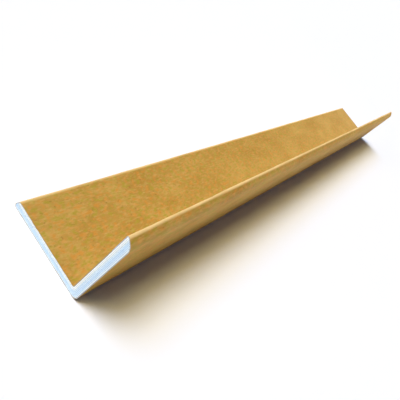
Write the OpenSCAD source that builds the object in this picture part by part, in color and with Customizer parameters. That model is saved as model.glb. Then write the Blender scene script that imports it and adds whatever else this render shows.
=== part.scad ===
// Edge protector for a pallet load: an angle of laminated paperboard, cut to length.
// It rests with one leg flat and the other upright. X runs across the flat leg with the
// heel at +X, Y along the length, Z up, and the origin is under the middle of its box.
// The plies slipped past one another when the board was folded, so the toes are slanted.

/* [Angle] */
// Width of the leg that lies flat, from the outside of the heel to its toe
flat_leg = 50; // [30:1:100]
// Height of the leg that stands up, from the outside of the heel to its toe
upright_leg = 50; // [30:1:100]
// Length that the angle is cut to
cut_length = 500; // [50:10:2000]

/* [Board] */
// Thickness of the white plies, pressed and glued into one board
core_t = 4.3; // [2.5:0.1:8]
// Thickness of the brown kraft paper that covers the board
paper_t = 0.35; // [0.2:0.05:0.6]
// Width of the strip of wrap that is turned over each toe onto the inside
turn_in = 12; // [8:0.5:20]

/* [Toes] */
// How far the flat leg's outer side reaches past its inner side
flat_slip = 2.2; // [0:0.1:3]
// How far the upright leg's inner side reaches past its outer side
upright_slip = 4.4; // [0:0.1:6]
// Radius of the flat leg's toe on its outer side
flat_toe_r = 1.8; // [1:0.1:3]
// Radius of the upright leg's toe on its outer side
upright_toe_r = 5; // [1:0.1:8]
// Radius of each toe on its inner side
lip_r = 0.8; // [0.7:0.1:1.2]

/* [Fold] */
// Radius over the outside of the heel
heel_r = 3; // [1:0.1:5]
// Radius of the inside corner, where the load's edge sits
nook_r = 0.6; // [0.3:0.1:3]

/* [Hidden] */
$fn = 96;

// Whole thickness of a leg: the board with a paper on each side
wall_t = core_t + 2 * paper_t;
// Depth of the board's inner face, on which the liner and the turned-in strips lie
board_depth = paper_t + core_t;
// Slant of each toe's face, positive where the inner side reaches further
flat_slant = -atan2(flat_slip, wall_t);
upright_slant = atan2(upright_slip, wall_t);
// A toe's rounding stands this much proud of the faces that it joins, so that it meets them at a clean line
proud = 0.005;
// A toe's two radii share its face and leave a short flat between them
toe_flat = 0.2;
function toe_room(slant) =
    (wall_t / cos(slant) - toe_flat - lip_r / tan(45 - slant / 2)) * tan(45 + slant / 2);
flat_round = min(flat_toe_r, toe_room(flat_slant));
upright_round = min(upright_toe_r, toe_room(upright_slant));

kraft_brown = [0.75, 0.59, 0.36];
ply_white = [0.91, 0.93, 0.94];

// What a square corner at the origin loses when it is rounded
module corner_sliver(r) {
    difference() {
        square(r);
        translate([r, r])
            circle(r);
    }
}

// What a corner loses when it is rounded, from the rounding's centre: all that lies past
// the disc between the directions square to the corner's two faces
module corner_loss(r, from, to) {
    middle = (from + to) / 2;
    side = 3 * r;
    far = side / cos((to - from) / 2);
    difference() {
        polygon([
            [0, 0],
            [side * cos(from), side * sin(from)],
            [far * cos(middle), far * sin(middle)],
            [side * cos(to), side * sin(to)]
        ]);
        circle(r);
    }
}

// One leg, lying along X with its outer face down and its heel at the origin.
// The centre of the lip's rounding leads that of the toe's, so that both meet the slanted
// face, and the one that stands out furthest comes to the leg's reach.
module leg_section(reach, wall, heel, toe, lip, slant) {
    toe_y = toe - proud;
    lip_y = wall - lip + proud;
    lead = (toe - lip + (lip_y - toe_y) * sin(slant)) / cos(slant);
    toe_x = slant > 0 ? reach - lip - lead : reach - toe;
    outer_x = toe_x - toe_y * tan(slant) + toe_y / cos(slant);
    inner_x = outer_x + wall * tan(slant);
    difference() {
        polygon([[0, 0], [outer_x, 0], [inner_x, wall], [0, wall]]);
        corner_sliver(heel);
        translate([toe_x, toe_y])
            corner_loss(toe, -90, -slant);
        translate([toe_x + lead, lip_y])
            corner_loss(lip, -slant, 90);
    }
}

// Two legs that share a heel, set in from the outline on every side but the inner one
module angle_section(inset, wall, nook) {
    heel = heel_r - inset;
    lip = lip_r - inset;
    translate([inset, inset]) {
        leg_section(flat_leg - 2 * inset, wall, heel, flat_round - inset, lip, flat_slant);
        mirror([1, -1])
            leg_section(upright_leg - 2 * inset, wall, heel, upright_round - inset, lip, upright_slant);
        translate([wall, wall])
            corner_sliver(nook);
    }
}

// The plies, one paper thickness inside the outline
module core_section() {
    angle_section(paper_t, core_t, nook_r + paper_t);
}

// The paper all round the plies
module paper_section() {
    difference() {
        angle_section(0, wall_t, nook_r);
        core_section();
    }
}

// The inside of the angle, as far as the edges of the turned-in strips
module liner_window() {
    translate([board_depth, board_depth])
        square([flat_leg - turn_in - board_depth, upright_leg - turn_in - board_depth]);
}

// Carries a section along the length and sets it down on the flat leg
module run_length() {
    rotate([90, 0, 0])
        linear_extrude(cut_length, center = true)
            translate([flat_leg / 2, 0])
                mirror([1, 0])
                    children();
}

// Laminated plies, which show white at both cut ends
module core_board() {
    color(ply_white)
        run_length()
            core_section();
}

// Kraft paper over the outside, round both toes and a little way onto the inside
module outer_wrap() {
    color(kraft_brown)
        run_length()
            difference() {
                paper_section();
                liner_window();
            }
}

// Kraft paper folded into the inside, between the edges of the wrap
module inner_liner() {
    color(kraft_brown)
        run_length()
            intersection() {
                paper_section();
                liner_window();
            }
}

core_board();
outer_wrap();
inner_liner();
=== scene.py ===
"""Edge protector for a pallet load, dressed for its render.

Two kraft papers are bent round a laminated white board. Each paper is a path in the angle's section,
made thick by concentric offset and carried along the length. The board's cut ends are grids of plies.
Lengths are in metres. In the section, u runs from the outside of the heel along the flat leg and v up
the upright leg. In the row frame X is the heel's X less u, Y runs along the length and Z rises with v.
"""

from __future__ import annotations

import logging
import math
from abc import ABC, abstractmethod
from dataclasses import dataclass
from enum import Enum

import bpy
import numpy as np
from mathutils import Matrix, Vector


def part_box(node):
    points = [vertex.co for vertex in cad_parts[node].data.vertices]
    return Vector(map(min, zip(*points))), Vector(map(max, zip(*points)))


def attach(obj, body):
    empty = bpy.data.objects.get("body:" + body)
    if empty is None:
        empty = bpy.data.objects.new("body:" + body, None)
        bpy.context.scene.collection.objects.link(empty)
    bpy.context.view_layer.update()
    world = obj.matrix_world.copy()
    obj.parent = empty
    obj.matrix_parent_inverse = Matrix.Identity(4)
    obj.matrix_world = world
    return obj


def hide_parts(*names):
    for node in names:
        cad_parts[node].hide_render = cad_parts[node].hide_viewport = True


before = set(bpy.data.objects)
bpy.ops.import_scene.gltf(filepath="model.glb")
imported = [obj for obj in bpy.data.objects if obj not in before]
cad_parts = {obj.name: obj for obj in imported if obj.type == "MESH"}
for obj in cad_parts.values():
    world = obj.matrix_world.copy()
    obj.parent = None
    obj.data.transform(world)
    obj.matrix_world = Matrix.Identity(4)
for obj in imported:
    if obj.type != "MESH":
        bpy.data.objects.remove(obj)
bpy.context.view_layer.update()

log = logging.getLogger("edge_protector")

Colour = tuple[float, float, float]
Place = tuple[float, float, float]
Spot = tuple[float, float]
Waves = tuple[float, float]
Socket = bpy.types.NodeSocket

MM = 0.001
# Smooth shading stops at edges sharper than this
SHARP_ANGLE = math.radians(40.0)
# Number of sine waves in a ripple
RIPPLE_WAVES = 16
# Mean distance between the points of a straight stretch, and degrees between those of a bend
PATH_STEP = 2.0 * MM
BEND_STEP = 10.0
# Cut edges of the liner, in their own brown; the wrap's cut edges are greyed to paint shade
LINER_EDGE: Colour = (0.610, 0.550, 0.430)


class Node(Enum):
    """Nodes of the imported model."""

    CORE = "core_board"
    WRAP = "outer_wrap"
    LINER = "inner_liner"


class Slot(Enum):
    """Material slots of the record."""

    BOARD = "ply_board"
    WRAP = "kraft_wrap"
    LINER = "kraft_liner"


class Mark(Enum):
    """Names of the values that a mesh carries to its finish."""

    # Rubbed paper on the bends, with a painted highlight along the toes' inner edges
    WEAR_AND_HIGHLIGHT = "wear_and_highlight"
    # Cut paper edges, whose grey on the wrap paints shade along the cut end's outline
    RAW_EDGE_AND_SHADE = "raw_edge_and_shade"
    SEAM = "ply_seam"
    TONE = "ply_tone"
    PALE = "pale_ply"


class End(Enum):
    """The two cut ends, by the side of the middle on which they lie."""

    NEAR = -1.0
    FAR = 1.0


def smooth_step(share: np.ndarray) -> np.ndarray:
    """Eases a share from 0 to 1: 3 s squared less 2 s cubed, held outside that range."""
    held = np.clip(share, 0.0, 1.0)
    return held * held * (3.0 - 2.0 * held)


def ripple(along: np.ndarray, across: np.ndarray, waves: Waves, seed: int) -> np.ndarray:
    """Smooth noise from about -1 to 1.

    It is a sum of plane sine waves: their directions and phases are drawn evenly, their lengths evenly
    on a log scale, and a wave's height grows with the square root of its length.

    Args:
        along: First coordinate of each place.
        across: Second coordinate, of a shape that fits the first.
        waves: Longest and shortest wave.
        seed: Seed of the draws.

    Returns:
        One value for each place.
    """
    draw = np.random.default_rng(seed)
    longest, shortest = waves
    length = longest * (shortest / longest) ** draw.random(RIPPLE_WAVES)
    heading = draw.random(RIPPLE_WAVES) * 2.0 * np.pi
    phase = draw.random(RIPPLE_WAVES) * 2.0 * np.pi
    height = np.sqrt(length)
    height /= np.sqrt(2.0) * np.linalg.norm(height)
    along, across = np.broadcast_arrays(along, across)
    turns = (along[..., None] * np.cos(heading) + across[..., None] * np.sin(heading)) / length
    return (height * np.sin(2.0 * np.pi * turns + phase)).sum(axis=-1)


def patches(along: np.ndarray, across: np.ndarray, waves: Waves, seed: int) -> np.ndarray:
    """Smooth noise from 0 to 1: half of 1 plus a ripple, held to that range.

    Args:
        along: First coordinate of each place.
        across: Second coordinate, of a shape that fits the first.
        waves: Longest and shortest wave.
        seed: Seed of the draws.

    Returns:
        One share for each place.
    """
    return np.clip(0.5 + 0.5 * ripple(along, across, waves, seed), 0.0, 1.0)


def linear(colour: Colour) -> tuple[float, float, float, float]:
    """Turns display values into a shader colour by the sRGB curve.

    Args:
        colour: Red, green and blue as they show, from 0 to 1.

    Returns:
        The same colour as shares of light, with alpha 1.
    """
    shown = np.array(colour)
    light = np.where(shown <= 0.04045, shown / 12.92, ((shown + 0.055) / 1.055) ** 2.4)
    return (*light.tolist(), 1.0)


# Meshes from arrays


@dataclass
class Solid:
    """A closed mesh as arrays.

    Attributes:
        points: Corners, one row each.
        quads: Corner numbers of each face.
        on_points: Values for each corner, by mark.
        on_faces: Values for each face, by mark.
    """

    points: np.ndarray
    quads: np.ndarray
    on_points: dict[Mark, np.ndarray]
    on_faces: dict[Mark, np.ndarray]

    def volume(self) -> float:
        """Signed volume: a sixth of each triangle's corner products, with each quad as two triangles.

        Returns:
            The volume, above 0 where the faces point outwards.
        """
        a, b, c, d = (self.points[self.quads[:, k]] for k in range(4))
        pairs = np.cross(b, c) + np.cross(c, d)
        return float(np.einsum("ij,ij->", a, pairs) / 6.0)

    def to_object(self, name: str) -> bpy.types.Object:
        """Puts the arrays into a smooth-shaded mesh whose faces point outwards.

        Args:
            name: Name of the object and its mesh.

        Returns:
            The new object, at the origin of the row frame.
        """
        quads = self.quads if self.volume() > 0.0 else self.quads[:, ::-1]
        mesh = bpy.data.meshes.new(name)
        mesh.vertices.add(len(self.points))
        mesh.vertices.foreach_set("co", self.points.astype(np.float32).ravel())
        mesh.loops.add(quads.size)
        mesh.loops.foreach_set("vertex_index", quads.astype(np.int32).ravel())
        mesh.polygons.add(len(quads))
        mesh.polygons.foreach_set("loop_start", np.arange(0, quads.size, 4, dtype=np.int32))
        mesh.polygons.foreach_set("use_smooth", np.ones(len(quads), dtype=bool))
        for domain, values in (("POINT", self.on_points), ("FACE", self.on_faces)):
            for mark, value in values.items():
                layer = mesh.attributes.new(mark.value, "FLOAT", domain)
                layer.data.foreach_set("value", value.astype(np.float32).ravel())
        mesh.update(calc_edges=True)
        mesh.set_sharp_from_angle(angle=SHARP_ANGLE)
        piece = bpy.data.objects.new(name, mesh)
        bpy.context.scene.collection.objects.link(piece)
        return piece


def grid_quads(index: np.ndarray) -> np.ndarray:
    """Faces of a grid of corner numbers: each cell joins a corner, the next one and the two beyond."""
    cells = [index[:-1, :-1], index[:-1, 1:], index[1:, 1:], index[1:, :-1]]
    return np.stack(cells, axis=-1).reshape(-1, 4)


def ring_quads(index: np.ndarray) -> np.ndarray:
    """Faces of a tube: each row of corner numbers is a closed ring, joined to the next row."""
    return grid_quads(np.concatenate([index, index[:, :1]], axis=1))


# The angle's section


@dataclass(frozen=True)
class Toe:
    """The slanted end of a leg. Its places are given along the leg and across it from its outer face.

    Attributes:
        reach: How far the leg reaches from the outside of the heel.
        wall: Thickness of the leg.
        toe_r: Radius on its outer side.
        lip_r: Radius on its inner side.
        slip: How far its inner side reaches past its outer side, negative where it falls short.
    """

    reach: float
    wall: float
    toe_r: float
    lip_r: float
    slip: float

    @property
    def slant(self) -> float:
        """Angle between the toe's face and a square cut, in radians."""
        return math.atan2(self.slip, self.wall)

    @property
    def lead(self) -> float:
        """How far the inner rounding's centre leads the outer one's.

        Both roundings touch the face. With radii t and l, a wall w and a slant s, the lead is t less l
        plus (w less l less t) times the sine of s, all over the cosine of s.
        """
        rise = self.wall - self.lip_r - self.toe_r
        return (self.toe_r - self.lip_r + rise * math.sin(self.slant)) / math.cos(self.slant)

    @property
    def toe_at(self) -> float:
        """Place along the leg of the outer rounding's centre: the longer side comes to the reach."""
        return self.reach - self.lip_r - self.lead if self.slip > 0.0 else self.reach - self.toe_r

    @property
    def lip_at(self) -> float:
        """Place along the leg of the inner rounding's centre."""
        return self.toe_at + self.lead

    def ends(self, across: np.ndarray, inset: float) -> np.ndarray:
        """How far rows of the leg reach when the whole outline is drawn in.

        Args:
            across: Place of each row across the leg.
            inset: How far the outline is drawn in.

        Returns:
            Place along the leg at which each row ends: on the outer rounding, the face or the inner one.
        """
        sine, cosine = math.sin(self.slant), math.cos(self.slant)
        toe, lip = self.toe_r - inset, self.lip_r - inset
        from_toe = across - self.toe_r
        from_lip = across - (self.wall - self.lip_r)
        face = self.toe_at + (toe + from_toe * sine) / cosine
        on_toe = self.toe_at + np.sqrt(np.clip(toe * toe - from_toe * from_toe, 0.0, None))
        on_lip = self.lip_at + np.sqrt(np.clip(lip * lip - from_lip * from_lip, 0.0, None))
        return np.select([from_toe < -toe * sine, from_lip > -lip * sine], [on_toe, on_lip], face)


@dataclass(frozen=True)
class AngleSection:
    """Sizes of the angle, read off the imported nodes, and of its roundings.

    Attributes:
        flat_leg: Reach of the leg that lies flat.
        upright_leg: Height of the leg that stands up.
        length: Length that the angle is cut to.
        heel: X of the upright leg's outer face.
        middle: Y of the middle of the length.
        floor: Z of the flat leg's outer face.
        paper: Thickness of the kraft paper.
        wall: Thickness of a leg.
        turn_in: Width of the strip of wrap on the inside.
        heel_r: Radius over the outside of the heel.
        nook_r: Radius of the inside corner.
        lip_r: Radius of each toe on its inner side.
        flat_toe_r: Radius of the flat leg's toe on its outer side.
        upright_toe_r: Radius of the upright leg's toe on its outer side.
        flat_slip: How far the flat leg's outer side reaches past its inner side.
        upright_slip: How far the upright leg's inner side reaches past its outer side.
        flush_run: Length at each cut end over which papers and board come to lie flush.
    """

    flat_leg: float
    upright_leg: float
    length: float
    heel: float
    middle: float
    floor: float
    paper: float
    wall: float
    turn_in: float
    heel_r: float = 3.0 * MM
    nook_r: float = 0.6 * MM
    lip_r: float = 0.8 * MM
    flat_toe_r: float = 1.8 * MM
    upright_toe_r: float = 5.0 * MM
    flat_slip: float = 2.2 * MM
    upright_slip: float = 4.4 * MM
    flush_run: float = 9.0 * MM

    @classmethod
    def from_frame(cls) -> AngleSection:
        """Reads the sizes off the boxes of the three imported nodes.

        The paper is as thick as the board lies above the floor, the wall ends one paper above the
        liner's underside, and the strip reaches from the flat leg's toe to the liner.

        Returns:
            The section.
        """
        wrap_low, wrap_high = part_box(Node.WRAP.value)
        core_low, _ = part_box(Node.CORE.value)
        liner_low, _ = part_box(Node.LINER.value)
        span = wrap_high - wrap_low
        paper = core_low.z - wrap_low.z
        return cls(
            flat_leg=span.x,
            upright_leg=span.z,
            length=span.y,
            heel=wrap_high.x,
            middle=(wrap_low.y + wrap_high.y) / 2.0,
            floor=wrap_low.z,
            paper=paper,
            wall=liner_low.z - wrap_low.z + paper,
            turn_in=liner_low.x - wrap_low.x,
        )

    @property
    def flat_toe(self) -> Toe:
        """End of the leg that lies flat."""
        return Toe(self.flat_leg, self.wall, self.flat_toe_r, self.lip_r, -self.flat_slip)

    @property
    def upright_toe(self) -> Toe:
        """End of the leg that stands up."""
        return Toe(self.upright_leg, self.wall, self.upright_toe_r, self.lip_r, self.upright_slip)

    @property
    def flat_seam(self) -> Spot:
        """Section place on the flat leg where the wrap's turned-in edge meets the liner."""
        return (self.flat_leg - self.turn_in, self.wall)

    @property
    def upright_seam(self) -> Spot:
        """Section place on the upright leg where the wrap's turned-in edge meets the liner."""
        return (self.wall, self.upright_leg - self.turn_in)

    def place(self, u: np.ndarray, v: np.ndarray, y: np.ndarray) -> np.ndarray:
        """Row-frame points of section places u, v at y from the middle of the length."""
        parts = np.broadcast_arrays(self.heel - u, self.middle + y, self.floor + v)
        return np.stack(parts, axis=-1)

    def from_end(self, y: np.ndarray) -> np.ndarray:
        """How far each place y along the length lies from the nearer cut end."""
        return self.length / 2.0 - np.abs(y)


@dataclass(frozen=True)
class SectionPath:
    """A line in the section, with the paper's outer side on its left.

    Attributes:
        points: Places u, v along the line.
        normals: Unit vectors towards the outer side.
        scuff_and_highlight: How far the paper is rubbed at each place, above 0 only on bends. It also
            weighs the painted highlight along the toes' inner edges.
    """

    points: np.ndarray
    normals: np.ndarray
    scuff_and_highlight: np.ndarray

    @classmethod
    def straight(cls, start: np.ndarray, end: np.ndarray) -> SectionPath:
        """A straight stretch whose points crowd at both ends: half of 1 less the cosine of half a turn.

        Args:
            start: First place.
            end: Last place.

        Returns:
            The stretch, of three steps or more.
        """
        way = end - start
        length = float(np.linalg.norm(way))
        count = max(3, round(length / PATH_STEP)) + 1
        share = (1.0 - np.cos(np.linspace(0.0, np.pi, count))) / 2.0
        normal = np.array([-way[1], way[0]]) / length
        return cls(start + share[:, None] * way, np.tile(normal, (count, 1)), np.zeros(count))

    @classmethod
    def bend(cls, centre: Spot, radius: float, start: float, stop: float, scuff_and_highlight: float) -> SectionPath:
        """A stretch of a circle, which bulges towards the outer side when it runs clockwise.

        Args:
            centre: Centre of the circle.
            radius: Its radius.
            start: Angle of the first point from the u axis, in degrees.
            stop: Angle of the last point.
            scuff_and_highlight: How far the paper is rubbed on it, and how strong the painted highlight is
                there.

        Returns:
            The stretch, of four steps or more.
        """
        count = max(4, round(abs(stop - start) / BEND_STEP)) + 1
        angle = np.radians(np.linspace(start, stop, count))
        ray = np.stack([np.cos(angle), np.sin(angle)], axis=-1)
        facing = 1.0 if stop < start else -1.0
        return cls(np.array(centre) + radius * ray, facing * ray, np.full(count, scuff_and_highlight))

    @classmethod
    def through(cls, start: Spot, bends: list[SectionPath], end: Spot) -> SectionPath:
        """Joins bends by straight stretches, and keeps each meeting point once.

        Args:
            start: First place of the line.
            bends: Bends in their order.
            end: Last place of the line.

        Returns:
            The whole line.
        """
        stretches = []
        spot = np.array(start)
        for bend in bends:
            stretches += [cls.straight(spot, bend.points[0]), bend]
            spot = bend.points[-1]
        stretches.append(cls.straight(spot, np.array(end)))
        first, *rest = stretches
        return cls(
            np.concatenate([first.points, *(s.points[1:] for s in rest)]),
            np.concatenate([first.normals, *(s.normals[1:] for s in rest)]),
            np.concatenate([first.scuff_and_highlight, *(s.scuff_and_highlight[1:] for s in rest)]),
        )

    @property
    def run(self) -> np.ndarray:
        """Length along the line up to each point."""
        steps = np.linalg.norm(np.diff(self.points, axis=0), axis=1)
        return np.concatenate([[0.0], np.cumsum(steps)])

    @property
    def from_edge(self) -> np.ndarray:
        """Length along the line from each point to the nearer end of the line."""
        return np.minimum(self.run, self.run[-1] - self.run)

    def near_bend(self, reach: float) -> np.ndarray:
        """The rubbing and painted highlight of a bend, easing to 0 at the given reach along the line from
        it.
        """
        gap = np.abs(self.run[:, None] - self.run[None, :])
        return (self.scuff_and_highlight[None, :] * (1.0 - smooth_step(gap / reach))).max(axis=1)


# Finishes


@dataclass(frozen=True)
class Grain:
    """Pattern of a noise on a surface.

    Attributes:
        size: Measure of its largest blots.
        detail: Number of finer layers that it holds.
        draw: Factor on places along the length, below 1 where the blots are drawn out lengthwise.
    """

    size: float
    detail: float
    draw: float = 1.0


@dataclass(frozen=True)
class Band:
    """Carries values from one range over to another, and holds them at both ends.

    Attributes:
        low: Lowest value that counts.
        high: Highest value that counts.
        start: Result at the low value.
        end: Result at the high value.
    """

    low: float
    high: float
    start: float = 0.0
    end: float = 1.0


class Shader:
    """A material's node tree, with short calls that add and link its nodes."""

    def __init__(self, name: str) -> None:
        """Starts a material with an output and nothing linked to it.

        Args:
            name: Name of the material.
        """
        self.material = bpy.data.materials.new(name)
        self.material.use_nodes = True
        self.tree = self.material.node_tree
        self.tree.nodes.clear()
        self.output = self.tree.nodes.new("ShaderNodeOutputMaterial")

    def add(self, kind: str, inputs: dict[str | int, object], **settings: object) -> bpy.types.Node:
        """Adds a node.

        Args:
            kind: Type name of the node.
            inputs: Values or sockets for its inputs, by name or number.
            settings: Values for its properties.

        Returns:
            The node.
        """
        node = self.tree.nodes.new(kind)
        for name, value in settings.items():
            setattr(node, name, value)
        for key, value in inputs.items():
            if isinstance(value, Socket):
                self.tree.links.new(value, node.inputs[key])
            else:
                node.inputs[key].default_value = value
        return node

    def noise(self, grain: Grain) -> Socket:
        """Noise on the piece's places in the row frame.

        Args:
            grain: Pattern of the noise.

        Returns:
            Values from 0 to 1, most of them near the middle.
        """
        coords = self.add("ShaderNodeTexCoord", {}).outputs["Object"]
        mapped = {"Vector": coords, "Scale": (1.0, grain.draw, 1.0)}
        place = self.add("ShaderNodeMapping", mapped).outputs["Vector"]
        inputs = {"Vector": place, "Scale": 1.0 / grain.size, "Detail": grain.detail}
        return self.add("ShaderNodeTexNoise", inputs).outputs["Fac"]

    def mark(self, mark: Mark) -> Socket:
        """A value that the mesh carries."""
        return self.add("ShaderNodeAttribute", {}, attribute_name=mark.value).outputs["Fac"]

    def spread(self, value: Socket, band: Band) -> Socket:
        """Carries a value over to a band's results."""
        inputs = {"Value": value, 1: band.low, 2: band.high, 3: band.start, 4: band.end}
        return self.add("ShaderNodeMapRange", inputs).outputs["Result"]

    def times(self, first: Socket, second: Socket | float) -> Socket:
        """Product of two values."""
        return self.add("ShaderNodeMath", {0: first, 1: second}, operation="MULTIPLY").outputs[0]

    def plus(self, first: Socket, second: Socket) -> Socket:
        """Sum of two values."""
        return self.add("ShaderNodeMath", {0: first, 1: second}, operation="ADD").outputs[0]

    def tint(self, share: Socket, under: Socket | Colour, over: Colour) -> Socket:
        """Mixes two colours.

        Args:
            share: How much of the second colour shows, from 0 to 1.
            under: First colour, as display values or from another node.
            over: Second colour, as display values.

        Returns:
            The mixed colour.
        """
        base = under if isinstance(under, Socket) else linear(under)
        inputs = {"Factor": share, 6: base, 7: linear(over)}
        return self.add("ShaderNodeMix", inputs, data_type="RGBA").outputs[2]

    def bump(self, height: Socket, depth: float, strength: float) -> Socket:
        """Normals of a surface that rises by the given depth, in metres, from height 0 to height 1."""
        inputs = {"Height": height, "Distance": depth, "Strength": strength}
        return self.add("ShaderNodeBump", inputs).outputs["Normal"]

    def finish(self, kind: str, inputs: dict[str | int, object]) -> bpy.types.Material:
        """Adds the surface shader and links it to the output.

        Args:
            kind: Type name of the shader.
            inputs: Values or sockets for its inputs, by name or number.

        Returns:
            The finished material.
        """
        surface = self.add(kind, inputs).outputs["BSDF"]
        self.tree.links.new(surface, self.output.inputs["Surface"])
        return self.material


@dataclass(frozen=True)
class KraftFinish:
    """Golden-brown kraft paper: soft blots, a fine mottle, lengthwise fibres, specks, rubbed edges with a
    painted highlight and cut edges greyed for painted shade.

    Attributes:
        name: Name of the material.
        shade: Colour of its darker blots.
        light: Colour of its paler blots.
        ochre: Colour of the warm grains of its fine mottle.
        olive: Colour of the greenish grains of its fine mottle.
        fibre: Colour of the pale fibres that run lengthwise.
        speck: Colour of the scattered dark fibres.
        rubbed_and_highlight: Colour of the bends where the paper is scuffed, which also paints a highlight
            along the toes' inner edges.
        raw_and_shade: Colour of its cut edges, greyed on the wrap to paint the shade along the cut end's
            outline and toe.
        blots: Pattern of the blots.
        mottle: Pattern of the mottle.
        fibres: Pattern of the pale fibres.
        specks: Pattern of the dark fibres.
        scuff_and_highlight_grain: Pattern of the scuffed places on the bends, which also breaks up the
            painted highlight.
        blot_share: Share of the paler colour, by the blots.
        ochre_share: Share of the warm grains, by the mottle.
        olive_share: Share of the greenish grains, by the mottle.
        fibre_share: Share of the pale fibres.
        speck_share: Share of the dark fibres.
        scuff_and_highlight_share: Share of the rubbed colour and painted highlight on a bend, by that
            pattern.
        roughness: Roughness, by the fibres.
        gloss: Specular level.
        nap: Height of the fibres.
        nap_strength: Strength of their relief.
        fibre_nap: How much of that height the pale fibres make. The dark ones make the rest.
    """

    name: str
    shade: Colour = (0.650, 0.487, 0.190)
    light: Colour = (0.735, 0.585, 0.285)
    ochre: Colour = (0.775, 0.530, 0.205)
    olive: Colour = (0.630, 0.565, 0.170)
    fibre: Colour = (0.800, 0.650, 0.370)
    speck: Colour = (0.490, 0.350, 0.145)
    # Pale colour of rubbed bends, also a painted highlight on the toes' inner edges
    rubbed_and_highlight: Colour = (0.940, 0.805, 0.550)
    # Grey that paints shade along the wrap's cut edges
    raw_and_shade: Colour = (0.700, 0.705, 0.720)
    blots: Grain = Grain(14.0 * MM, 6.0, 0.60)
    mottle: Grain = Grain(2.4 * MM, 2.0, 0.70)
    fibres: Grain = Grain(0.9 * MM, 4.0, 0.30)
    specks: Grain = Grain(0.9 * MM, 2.0, 0.50)
    scuff_and_highlight_grain: Grain = Grain(6.0 * MM, 4.0, 0.30)
    blot_share: Band = Band(0.32, 0.68)
    ochre_share: Band = Band(0.34, 0.49, 0.75, 0.0)
    olive_share: Band = Band(0.51, 0.66, 0.0, 0.75)
    fibre_share: Band = Band(0.45, 0.80, 0.0, 0.65)
    speck_share: Band = Band(0.62, 0.78, 0.0, 0.55)
    scuff_and_highlight_share: Band = Band(0.30, 0.62, 0.45, 0.90)
    roughness: Band = Band(0.30, 0.70, 0.60, 0.75)
    gloss: float = 0.15
    nap: float = 0.06 * MM
    nap_strength: float = 0.35
    fibre_nap: float = 0.7

    def material(self) -> bpy.types.Material:
        """Builds the material from Object coordinates and the paper's own marks.

        Returns:
            The material.
        """
        shader = Shader(self.name)
        mottle = shader.noise(self.mottle)
        fibres = shader.noise(self.fibres)
        specks = shader.noise(self.specks)
        blots = shader.spread(shader.noise(self.blots), self.blot_share)
        colour = shader.tint(blots, self.shade, self.light)
        colour = shader.tint(shader.spread(mottle, self.ochre_share), colour, self.ochre)
        colour = shader.tint(shader.spread(mottle, self.olive_share), colour, self.olive)
        colour = shader.tint(shader.spread(fibres, self.fibre_share), colour, self.fibre)
        colour = shader.tint(shader.spread(specks, self.speck_share), colour, self.speck)
        # Rubbed bends, whose pale colour also paints a highlight along the toes' inner edges
        scuffed_and_highlit = shader.spread(shader.noise(self.scuff_and_highlight_grain), self.scuff_and_highlight_share)
        colour = shader.tint(shader.times(shader.mark(Mark.WEAR_AND_HIGHLIGHT), scuffed_and_highlit), colour, self.rubbed_and_highlight)
        # Cut edges: the wrap's grey paints shade along the cut end's outline
        colour = shader.tint(shader.mark(Mark.RAW_EDGE_AND_SHADE), colour, self.raw_and_shade)
        pale_nap = shader.times(fibres, self.fibre_nap)
        dark_nap = shader.times(specks, 1.0 - self.fibre_nap)
        inputs = {
            "Base Color": colour,
            "Roughness": shader.spread(fibres, self.roughness),
            "Specular IOR Level": self.gloss,
            "Normal": shader.bump(shader.plus(pale_nap, dark_nap), self.nap, self.nap_strength),
        }
        return shader.finish("ShaderNodeBsdfPrincipled", inputs)


@dataclass(frozen=True)
class PlyFinish:
    """Cool white board, cut across: plies of slightly different whites with fine grey lines between.

    Attributes:
        name: Name of the material.
        cool: Colour of the bluest plies.
        white: Colour of the whitest plies.
        pale: Colour of the plies next to the papers.
        line: Colour of the glue lines.
        fuzz: Pattern of the cut fibres.
        line_share: Share of a glue line that shows, by the fuzz.
        gloss: Specular level.
        rough: Roughness.
        nap: Height of the cut fibres.
        nap_strength: Strength of their relief.
    """

    name: str
    cool: Colour = (0.795, 0.895, 0.975)
    white: Colour = (0.885, 0.940, 0.985)
    pale: Colour = (0.990, 0.988, 0.970)
    line: Colour = (0.560, 0.660, 0.790)
    fuzz: Grain = Grain(0.5 * MM, 4.0)
    line_share: Band = Band(0.34, 0.58, 0.15, 0.95)
    gloss: float = 0.2
    rough: float = 0.85
    nap: float = 0.08 * MM
    nap_strength: float = 0.3

    def material(self) -> bpy.types.Material:
        """Builds the material from the plies' own marks and Object coordinates.

        Returns:
            The material.
        """
        shader = Shader(self.name)
        fuzz = shader.noise(self.fuzz)
        colour = shader.tint(shader.mark(Mark.TONE), self.cool, self.white)
        colour = shader.tint(shader.mark(Mark.PALE), colour, self.pale)
        lines = shader.times(shader.mark(Mark.SEAM), shader.spread(fuzz, self.line_share))
        inputs = {
            "Base Color": shader.tint(lines, colour, self.line),
            "Roughness": self.rough,
            "Specular IOR Level": self.gloss,
            "Normal": shader.bump(fuzz, self.nap, self.nap_strength),
        }
        return shader.finish("ShaderNodeBsdfPrincipled", inputs)


@dataclass(frozen=True)
class FloorFinish:
    """Plain white floor that keeps the part's shadow.

    Attributes:
        name: Name of the material.
        white: Share of the light that the floor gives back.
    """

    name: str
    white: float = 0.95

    def material(self) -> bpy.types.Material:
        """Builds a matte white."""
        inputs = {"Color": (self.white, self.white, self.white, 1.0)}
        return Shader(self.name).finish("ShaderNodeBsdfDiffuse", inputs)


# The part's pieces


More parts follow.
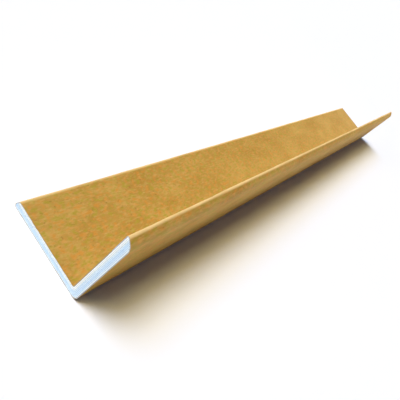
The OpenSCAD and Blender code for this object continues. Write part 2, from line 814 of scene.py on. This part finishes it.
@dataclass
class Piece(ABC):
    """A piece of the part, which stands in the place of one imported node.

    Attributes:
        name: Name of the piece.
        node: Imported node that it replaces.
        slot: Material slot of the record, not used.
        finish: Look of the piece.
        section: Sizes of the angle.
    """

    name: str
    node: Node
    slot: Slot
    finish: KraftFinish | PlyFinish
    section: AngleSection

    @abstractmethod
    def solid(self) -> Solid:
        """The piece as a closed mesh."""

    def build(self) -> bpy.types.Object:
        """Makes the piece, dresses it and sets it in the place of its node.

        Returns:
            The new object.
        """
        piece = self.solid().to_object(self.name)
        piece.data.materials.append(self.finish.material())
        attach(piece, "root")
        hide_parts(self.node.value)
        return piece


@dataclass
class PaperSkin(Piece):
    """A kraft paper that follows the angle's section.

    The seeds are the same for both papers, so that they stay flush where they meet.

    Attributes:
        step: Distance between stations along the length.
        end_steps: Distances of the closer stations from each cut end.
        hollow_depth: Depth of the long hollows that press and glue leave in the paper.
        hollow_waves: Longest and shortest wave of the hollows.
        hollow_seed: Seed of the hollows.
        knock_depth: Depth of the small knocks on the bends.
        knock_waves: Longest and shortest wave of the knocks.
        knock_level: Height of their ripple from which a knock shows.
        knock_reach: How far from a bend knocks are found.
        knock_seed: Seed of the knocks.
        fray_depth: Depth of the ragged cut at the two ends.
        fray_waves: Longest and shortest wave of the ragged cut.
        fray_seed: Seed of the ragged cut.
        tuck_depth: How far the paper's long edges are pressed down at their seam.
        tuck_reach: How far from the edge that falls to about a third.
        wear_and_highlight_reach: How far from a bend the paper is rubbed and the painted highlight reaches.
    """

    step: float = 2.5 * MM
    end_steps: tuple[float, ...] = (0.0, 0.3 * MM, 0.8 * MM, 1.6 * MM)
    hollow_depth: float = 0.10 * MM
    hollow_waves: Waves = (110.0 * MM, 32.0 * MM)
    hollow_seed: int = 41
    knock_depth: float = 0.14 * MM
    knock_waves: Waves = (28.0 * MM, 5.0 * MM)
    knock_level: float = 0.35
    knock_reach: float = 1.5 * MM
    knock_seed: int = 42
    fray_depth: float = 0.12 * MM
    fray_waves: Waves = (4.0 * MM, 0.5 * MM)
    fray_seed: int = 43
    tuck_depth: float = 0.06 * MM
    tuck_reach: float = 0.15 * MM
    wear_and_highlight_reach: float = 0.4 * MM

    @abstractmethod
    def path(self) -> SectionPath:
        """Line of the paper's outer side in the section."""

    def stations(self) -> np.ndarray:
        """Places along the length, measured from the middle.

        A few close ones lie at each cut end. The even ones start at twice the last close one's distance.

        Returns:
            One place for each station, from the near end to the far one.
        """
        half = self.section.length / 2.0
        close = np.array(self.end_steps)
        inner = half - 2.0 * close[-1]
        even = np.linspace(-inner, inner, round(2.0 * inner / self.step) + 1)
        return np.concatenate([close - half, even, half - close[::-1]])

    def sink(self, path: SectionPath, y: np.ndarray) -> np.ndarray:
        """Depth of the paper below its true face.

        Long hollows lie all over it and small knocks on its bends. Both ease out at the cut ends, where
        the paper is flush with the board, and on what faces the floor. Its long edges are tucked down.

        Args:
            path: Line of the paper in the section.
            y: Stations along the length.

        Returns:
            One depth for each point and station.
        """
        spread = path.points.sum(axis=1)[:, None]
        y = y[None, :]
        hollow = patches(spread, y, self.hollow_waves, self.hollow_seed)
        swell = ripple(spread, y, self.knock_waves, self.knock_seed)
        knock = np.clip(swell - self.knock_level, 0.0, None)
        knock = knock * np.sqrt(path.near_bend(self.knock_reach))[:, None]
        depth = self.hollow_depth * hollow + self.knock_depth * knock
        clear = 1.0 - np.clip(-path.normals[:, 1:], 0.0, 1.0)
        ease = smooth_step(self.section.from_end(y) / self.section.flush_run)
        tuck = self.tuck_depth * np.exp(-path.from_edge[:, None] / self.tuck_reach)
        return depth * clear * ease + tuck

    def fray(self, path: SectionPath, y: np.ndarray) -> np.ndarray:
        """How far the ragged cut draws each point of the outermost stations back towards the middle.

        Args:
            path: Line of the paper in the section.
            y: Stations along the length.

        Returns:
            One length for each point and station, 0 at all but the first and the last station.
        """
        ragged = patches(path.run[:, None], y[None, :], self.fray_waves, self.fray_seed)
        outermost = np.zeros(len(y))
        outermost[[0, -1]] = 1.0
        return self.fray_depth * ragged * outermost

    def solid(self) -> Solid:
        """Closes the paper's two sides into one solid.

        The outer side is the path, sunk along its normals. The back lies one paper thickness further
        along them. A station's ring runs along the one and returns along the other, rings are joined
        along the length, and a ladder of faces closes each cut end.

        Returns:
            The solid, with its wear and painted highlight on the corners and its cut edges, greyed on the
            wrap for painted shade, on the faces.
        """
        path = self.path()
        y = self.stations()
        count = len(path.points)
        sunk = self.sink(path, y)
        shifted = y[None, :] - np.sign(y)[None, :] * self.fray(path, y)
        sides = []
        for depth in (sunk, sunk + self.section.paper):
            spots = path.points[:, None, :] - depth[..., None] * path.normals[:, None, :]
            sides.append(self.section.place(spots[..., 0], spots[..., 1], shifted))
        rings = np.concatenate([sides[0], sides[1][::-1]]).transpose(1, 0, 2)
        index = np.arange(len(y) * 2 * count).reshape(len(y), 2 * count)
        ladders = np.stack([index[:, :count], index[:, :-count - 1:-1]], axis=1)
        ends = np.concatenate([grid_quads(ladders[0])[:, ::-1], grid_quads(ladders[-1])])
        # Cut edges, which the wrap's finish greys as painted shade
        raw_and_shade = np.zeros((len(y) - 1, 2 * count))
        raw_and_shade[:, [count - 1, -1]] = 1.0
        # Rubbed bends and the painted highlight along the toes' inner edges
        wear_and_highlight = np.concatenate([path.near_bend(self.wear_and_highlight_reach), np.zeros(count)])
        return Solid(
            points=rings.reshape(-1, 3),
            quads=np.concatenate([ring_quads(index), ends]),
            on_points={Mark.WEAR_AND_HIGHLIGHT: np.tile(wear_and_highlight, len(y))},
            on_faces={Mark.RAW_EDGE_AND_SHADE: np.concatenate([raw_and_shade.ravel(), np.ones(len(ends))])},
        )


@dataclass
class OuterWrap(PaperSkin):
    """The paper over both outer faces, round both toes and a little way onto the inside.

    Attributes:
        lip_scuff_and_highlight: How far the toes' inner edges are rubbed and lit by a painted highlight.
        toe_scuff: How far the toes' outer edges are rubbed.
        heel_scuff: How far the heel is rubbed.
    """

    # The toes' inner edges are rubbed and carry a painted highlight
    lip_scuff_and_highlight: float = 1.0
    toe_scuff: float = 0.12
    heel_scuff: float = 0.20

    def path(self) -> SectionPath:
        """Joins the five bends of the outside, from one turned-in edge to the other.

        Returns:
            The line from the flat leg's seam round toe, heel and toe to the upright leg's seam.
        """
        s = self.section
        flat, upright = s.flat_toe, s.upright_toe
        low = -math.degrees(flat.slant)
        high = 90.0 + math.degrees(upright.slant)
        lip_side = s.wall - s.lip_r
        bends = [
            SectionPath.bend((flat.lip_at, lip_side), s.lip_r, 90.0, low, self.lip_scuff_and_highlight),
            SectionPath.bend((flat.toe_at, flat.toe_r), flat.toe_r, low, -90.0, self.toe_scuff),
            SectionPath.bend((s.heel_r, s.heel_r), s.heel_r, -90.0, -180.0, self.heel_scuff),
            SectionPath.bend((upright.toe_r, upright.toe_at), upright.toe_r, 180.0, high, self.toe_scuff),
            SectionPath.bend((lip_side, upright.lip_at), s.lip_r, high, 0.0, self.lip_scuff_and_highlight),
        ]
        return SectionPath.through(s.flat_seam, bends, s.upright_seam)


@dataclass
class InnerLiner(PaperSkin):
    """The paper on the inside, folded into the corner between the turned-in edges of the wrap.

    Attributes:
        nook_scuff: How far the inside corner is rubbed.
    """

    nook_scuff: float = 0.05

    def path(self) -> SectionPath:
        """Joins the two seams round the bend of the inside corner.

        Returns:
            The line down the upright leg, round the corner and out along the flat leg.
        """
        s = self.section
        corner = s.wall + s.nook_r
        nook = SectionPath.bend((corner, corner), s.nook_r, 180.0, 270.0, self.nook_scuff)
        return SectionPath.through(s.upright_seam, [nook], s.flat_seam)


@dataclass
class CoreBoard(Piece):
    """The laminated board inside the papers, whose plies show at both cut ends.

    Attributes:
        plies: Number of plies.
        row_shares: Places of the rows of points within a ply, as shares of its thickness.
        leg_columns: Points of a row along each leg.
        fold_columns: Points of a row round the fold, both ends included.
        groove_depth: Depth of the glue lines between plies.
        groove_width: Half width of the glue lines.
        recess_depth: How far a ply may lie behind the cut.
        recess_waves: Longest and shortest wave of that along a leg.
        recess_lane: Distance between plies in that pattern.
        recess_seed: Seed of that pattern, moved by the value of the end.
        saw_depth: Depth of the saw's marks.
        saw_waves: Longest and shortest wave of the marks.
        saw_lean: Factor on places up the upright leg, below 1 where the marks are drawn out upwards.
        saw_seed: Seed of the marks, moved by the value of the end.
        tone_waves: Longest and shortest wave of the plies' whiteness along a leg.
        tone_lane: Distance between plies in that pattern.
        tone_seed: Seed of that pattern.
        pale_outer: How pale the outermost ply is, from 0 to 1.
        pale_inner: How pale the innermost plies are, the innermost last.
        clearance: Room between the board and the papers away from the cut ends.
    """

    plies: int = 7
    row_shares: tuple[float, ...] = (0.0, 0.1, 0.22, 0.5, 0.78, 0.9)
    leg_columns: int = 65
    fold_columns: int = 13
    groove_depth: float = 0.08 * MM
    groove_width: float = 0.10 * MM
    recess_depth: float = 0.07 * MM
    recess_waves: Waves = (30.0 * MM, 3.0 * MM)
    recess_lane: float = 37.0 * MM
    recess_seed: int = 77
    saw_depth: float = 0.02 * MM
    saw_waves: Waves = (2.4 * MM, 1.1 * MM)
    saw_lean: float = 0.6
    saw_seed: int = 87
    tone_waves: Waves = (60.0 * MM, 6.0 * MM)
    tone_lane: float = 53.0 * MM
    tone_seed: int = 97
    pale_outer: float = 0.5
    pale_inner: tuple[float, ...] = (0.3, 0.9, 1.0)
    clearance: float = 0.26 * MM

    @property
    def thickness(self) -> float:
        """Thickness of all the plies together."""
        return self.section.wall - 2.0 * self.section.paper

    def depths(self) -> np.ndarray:
        """Depths of the rows of points below the board's outer face, close together at glue lines."""
        rows = (np.arange(self.plies)[:, None] + np.array(self.row_shares)).ravel()
        return np.append(rows, self.plies) * self.thickness / self.plies

    def rows(self) -> tuple[np.ndarray, np.ndarray]:
        """Section places of the cut end's points.

        A row lies at one depth: straight along the flat leg, a quarter circle at the fold, straight up
        the upright leg. The fold's radius runs evenly from the heel's to the inside corner's.

        Returns:
            The u and the v of each point, a row for each depth.
        """
        s = self.section
        depth = self.depths()[:, None]
        side = s.paper + depth
        fold = np.interp(depth, [0.0, self.thickness], [s.heel_r - s.paper, s.nook_r + s.paper])
        share = np.linspace(0.0, 1.0, self.leg_columns)[None, :]
        angle = np.radians(np.linspace(270.0, 180.0, self.fold_columns))[None, 1:-1]
        start = s.flat_toe.ends(side, s.paper)
        stop = s.upright_toe.ends(side, s.paper)
        centre = side + fold
        u_flat = start + share * (centre - start)
        v_upright = centre + share * (stop - centre)
        level = np.broadcast_to(side, u_flat.shape)
        u = np.concatenate([u_flat, centre + fold * np.cos(angle), level], axis=1)
        v = np.concatenate([level, centre + fold * np.sin(angle), v_upright], axis=1)
        return u, v

    def ply_number(self) -> np.ndarray:
        """Number of the ply in which each row lies, as a column. A row on a glue line is in the next."""
        number = np.append(np.repeat(np.arange(self.plies), len(self.row_shares)), self.plies - 1)
        return number[:, None]

    def pale_plies(self) -> np.ndarray:
        """How pale the rows are: the outermost and the innermost plies are paler than the rest.

        Returns:
            One share for each row, as a column.
        """
        shares = np.zeros(self.plies)
        shares[0] = self.pale_outer
        shares[-len(self.pale_inner):] = self.pale_inner
        return shares[self.ply_number()]

    def seams(self) -> np.ndarray:
        """How near the rows lie to a glue line: 1 on it, falling off as a bell curve to each side.

        Returns:
            One share for each row, as a column.
        """
        ply = self.thickness / self.plies
        gap = np.abs(self.depths() - ply * np.round(self.depths() / ply))
        return np.exp(-((gap / self.groove_width) ** 2))[:, None]

    def relief(self, u: np.ndarray, v: np.ndarray, end: End) -> np.ndarray:
        """How far each point of a cut end lies behind the cut.

        Glue lines are grooves, each ply has its own uneven recess along the leg, and the saw leaves
        fine slanting marks.

        Args:
            u: Section places along the flat leg.
            v: Section places up the upright leg.
            end: Which of the two cut ends.

        Returns:
            One depth for each point.
        """
        shift = int(end.value)
        lane = self.ply_number() * self.recess_lane
        recess = patches(u - v, lane, self.recess_waves, self.recess_seed + shift)
        marks = patches(u, self.saw_lean * v, self.saw_waves, self.saw_seed + shift)
        return self.groove_depth * self.seams() + self.recess_depth * recess + self.saw_depth * marks

    def marks(self, u: np.ndarray, v: np.ndarray) -> dict[Mark, np.ndarray]:
        """What each point of a cut end tells the finish.

        Args:
            u: Section places along the flat leg.
            v: Section places up the upright leg.

        Returns:
            How near it lies to a glue line, how white its ply is there and how pale the ply is.
        """
        lane = self.ply_number() * self.tone_lane
        return {
            Mark.SEAM: np.broadcast_to(self.seams(), u.shape),
            Mark.TONE: patches(u - v, lane, self.tone_waves, self.tone_seed),
            Mark.PALE: np.broadcast_to(self.pale_plies(), u.shape),
        }

    def solid(self) -> Solid:
        """Closes the two cut ends and the board's outline into one solid.

        Each cut end is a grid of rows and columns. Its outline is carried to the other end through two
        inner rings, which lie a little way inside so that the papers keep clear of the board.

        Returns:
            The solid, with the marks of its plies on the corners.
        """
        s = self.section
        u, v = self.rows()
        half = s.length / 2.0
        ends = [s.place(u, v, e.value * (half - self.relief(u, v, e))) for e in End]
        index = np.arange(u.size).reshape(u.shape)
        outline = np.concatenate([index[0], index[1:, -1], index[-1, -2::-1], index[-2:0:-1, 0]])
        ring = np.stack([u.ravel()[outline], v.ravel()[outline]], axis=-1)
        way = np.roll(ring, -1, axis=0) - np.roll(ring, 1, axis=0)
        inward = np.stack([way[:, 1], -way[:, 0]], axis=-1) / np.linalg.norm(way, axis=1, keepdims=True)
        inset = ring + self.clearance * inward
        shoulder = half - s.flush_run
        inner = [s.place(inset[:, 0], inset[:, 1], np.array(e.value * shoulder)) for e in End]
        count = len(outline)
        first, second = 2 * u.size + np.arange(2 * count).reshape(2, count)
        rings = np.stack([outline, first, second, u.size + outline])
        quads = [grid_quads(index), ring_quads(rings)[:, ::-1], grid_quads(index + u.size)[:, ::-1]]
        hidden = np.zeros(2 * count)
        marks = self.marks(u, v)
        return Solid(
            points=np.concatenate([*(e.reshape(-1, 3) for e in ends), *inner]),
            quads=np.concatenate(quads),
            on_points={m: np.concatenate([a.ravel(), a.ravel(), hidden]) for m, a in marks.items()},
            on_faces={},
        )


# The studio


@dataclass(frozen=True)
class Lamp:
    """Soft light from far off.

    Attributes:
        name: Name of the lamp.
        towards: Direction from the part to the lamp.
        on_floor: Light that it gives to the open floor, for red, green and blue.
        width: Angle that the lamp covers, in degrees.
    """

    name: str
    towards: Place
    on_floor: Colour
    width: float

    def hang(self) -> None:
        """Adds the lamp.

        Its strength is pi times its brightest light on the floor, over the upward part of its direction.
        """
        way = Vector(self.towards).normalized()
        brightest = max(self.on_floor)
        lamp = bpy.data.lights.new(self.name, "SUN")
        lamp.color = [share / brightest for share in self.on_floor]
        lamp.energy = brightest * math.pi / way.z
        lamp.angle = math.radians(self.width)
        holder = bpy.data.objects.new(self.name, lamp)
        holder.rotation_mode = "QUATERNION"
        holder.rotation_quaternion = way.to_track_quat("Z", "Y")
        bpy.context.scene.collection.objects.link(holder)


@dataclass(frozen=True)
class GridBox:
    """Soft box that faces one side of the part, with a grid that narrows its light.

    Attributes:
        name: Name of the lamp.
        centre: Middle of its face.
        facing: Direction in which it shines.
        width: Level width of its face.
        height: Height of its face.
        spread: Angle over which its grid lets light out, in degrees.
        glow: Light that its face would give off without the grid, for red, green and blue.
    """

    name: str
    centre: Place
    facing: Place
    width: float
    height: float
    spread: float
    glow: Colour

    def hang(self) -> None:
        """Adds the lamp, out of the camera's sight.

        Its strength is pi times its brightest glow, times the area of its face.
        """
        brightest = max(self.glow)
        lamp = bpy.data.lights.new(self.name, "AREA")
        lamp.shape = "RECTANGLE"
        lamp.size = self.width
        lamp.size_y = self.height
        lamp.spread = math.radians(self.spread)
        lamp.color = [share / brightest for share in self.glow]
        lamp.energy = brightest * math.pi * self.width * self.height
        holder = bpy.data.objects.new(self.name, lamp)
        holder.location = self.centre
        holder.rotation_mode = "QUATERNION"
        holder.rotation_quaternion = Vector(self.facing).to_track_quat("-Z", "Y")
        holder.visible_camera = False
        bpy.context.scene.collection.objects.link(holder)


@dataclass
class Studio:
    """Plain white floor, soft light and a camera at the photograph's viewing angle.

    Attributes:
        section: Sizes of the angle.
        sky: Light from all round, for red, green and blue.
        background: Colour that shows where the sky itself is seen.
        reach: Half width of the floor.
        floor_gap: Room between the floor and the part.
        side_gap: Distance from the upright leg to the box beside it.
        side_rise: Height of that box's middle above the floor.
        back_gap: Distance from the far cut end to the box behind it.
        back_rise: Height of that box's middle above the floor.
        lens: Focal length of the camera, in millimetres.
        near_clip: Distance from the camera at which it starts to see.
        aim: Place on the floor at which the camera looks.
        azimuth: Angle of the camera round the part, from -Y towards +X, in degrees.
        elevation: Angle of the camera above the floor, in degrees.
        roll: Angle by which the camera is turned about its axis, in degrees.
        distance: Distance from the camera to its aim.
    """

    section: AngleSection
    sky: Colour = (0.028, 0.031, 0.055)
    background: Colour = (1.0, 1.0, 1.0)
    reach: float = 4.0
    floor_gap: float = 0.02 * MM
    side_gap: float = 300.0 * MM
    side_rise: float = 79.0 * MM
    back_gap: float = 100.0 * MM
    back_rise: float = 36.0 * MM
    lens: float = 38.0
    near_clip: float = 10.0 * MM
    aim: Place = (0.0082, -0.1350, 0.0)
    azimuth: float = 9.4
    elevation: float = 36.18
    roll: float = 49.35
    distance: float = 0.2735

    def lamps(self) -> tuple[Lamp, ...]:
        """A warm and a cool key, high on the left, and a low lamp before the cut end."""
        return (
            Lamp("warm_key", (-0.345, -0.27, 0.90), (0.68, 0.55, 0.26), 27.0),
            Lamp("cool_key", (-0.50, -0.27, 0.83), (0.30, 0.43, 0.75), 29.0),
            Lamp("front", (-0.30, -0.93, 0.15), (0.037, 0.0395, 0.031), 30.0),
        )

    def boxes(self) -> tuple[GridBox, ...]:
        """A box beside the upright leg, set high so that its foot stays darker, and one behind the part."""
        section = self.section
        side = (section.heel + self.side_gap, section.middle, section.floor + self.side_rise)
        behind = section.middle + section.length / 2.0 + self.back_gap
        back = (section.heel - section.flat_leg / 2.0, behind, section.floor + self.back_rise)
        return (
            GridBox("side_box", side, (-1.0, 0.0, 0.0), 700.0 * MM, 100.0 * MM, 15.0, (0.40, 0.385, 0.36)),
            GridBox("back_box", back, (0.0, -1.0, 0.0), 90.0 * MM, 68.0 * MM, 24.0, (0.46, 0.38, 0.25)),
        )

    def lay_floor(self) -> None:
        """Lays the floor just under the part, as a grid of four cells."""
        x, y = np.meshgrid([-self.reach, 0.0, self.reach], [-self.reach, 0.0, self.reach])
        level = np.full_like(x, self.section.floor - self.floor_gap)
        points = np.stack([x, y, level], axis=-1).reshape(-1, 3)
        mesh = bpy.data.meshes.new("studio_floor")
        mesh.from_pydata(points.tolist(), [], grid_quads(np.arange(x.size).reshape(x.shape)).tolist())
        mesh.materials.append(FloorFinish("studio_floor").material())
        floor = bpy.data.objects.new("studio_floor", mesh)
        bpy.context.scene.collection.objects.link(floor)

    def fill_sky(self) -> None:
        """Lights the part from all round, and shows the background where the sky itself is seen."""
        world = bpy.data.worlds.new("studio_sky")
        world.use_nodes = True
        nodes, links = world.node_tree.nodes, world.node_tree.links
        nodes.clear()
        rays = nodes.new("ShaderNodeLightPath")
        seen = rays.outputs["Is Camera Ray"]
        for kind in ("Is Glossy Ray", "Is Transmission Ray"):
            either = nodes.new("ShaderNodeMath")
            either.operation = "MAXIMUM"
            links.new(seen, either.inputs[0])
            links.new(rays.outputs[kind], either.inputs[1])
            seen = either.outputs[0]
        mix = nodes.new("ShaderNodeMixShader")
        links.new(seen, mix.inputs[0])
        for colour, socket in ((self.sky, mix.inputs[1]), (self.background, mix.inputs[2])):
            light = nodes.new("ShaderNodeBackground")
            light.inputs["Color"].default_value = (*colour, 1.0)
            links.new(light.outputs[0], socket)
        output = nodes.new("ShaderNodeOutputWorld")
        links.new(mix.outputs[0], output.inputs["Surface"])
        bpy.context.scene.world = world

    def set_camera(self) -> None:
        """Sets the camera: back along its azimuth and elevation from the aim, turned by the roll."""
        a, e, r = (math.radians(angle) for angle in (self.azimuth, self.elevation, self.roll))
        back = Vector((math.sin(a) * math.cos(e), -math.cos(a) * math.cos(e), math.sin(e)))
        level = Vector((math.cos(a), math.sin(a), 0.0))
        rise = back.cross(level)
        right = level * math.cos(r) + rise * math.sin(r)
        up = rise * math.cos(r) - level * math.sin(r)
        lens = bpy.data.cameras.new("photo_camera")
        lens.lens = self.lens
        lens.clip_start = self.near_clip
        camera = bpy.data.objects.new("photo_camera", lens)
        turn = Matrix((right, up, back)).transposed().to_4x4()
        camera.matrix_world = Matrix.Translation(Vector(self.aim) + back * self.distance) @ turn
        bpy.context.scene.collection.objects.link(camera)
        bpy.context.scene.camera = camera

    def build(self) -> None:
        """Sets up camera, floor, sky, lamps and boxes."""
        self.set_camera()
        self.lay_floor()
        self.fill_sky()
        for lamp in (*self.lamps(), *self.boxes()):
            lamp.hang()
        bpy.context.scene.view_settings.view_transform = "Standard"


def main() -> None:
    """Builds the studio and the three pieces, in order, and reports each."""
    logging.basicConfig(level=logging.INFO, format="%(name)s: %(message)s")
    section = AngleSection.from_frame()
    Studio(section).build()
    board = PlyFinish("white_ply_board")
    wrap = KraftFinish("kraft_wrap_paper")
    liner = KraftFinish("kraft_liner_paper", raw_and_shade=LINER_EDGE)
    pieces = (
        CoreBoard("core_board_plies", Node.CORE, Slot.BOARD, board, section),
        OuterWrap("outer_wrap_paper", Node.WRAP, Slot.WRAP, wrap, section),
        InnerLiner("inner_liner_paper", Node.LINER, Slot.LINER, liner, section),
    )
    for piece in pieces:
        built = piece.build()
        log.info("%s has %d faces", built.name, len(built.data.polygons))


if __name__ == "__main__":
    main()
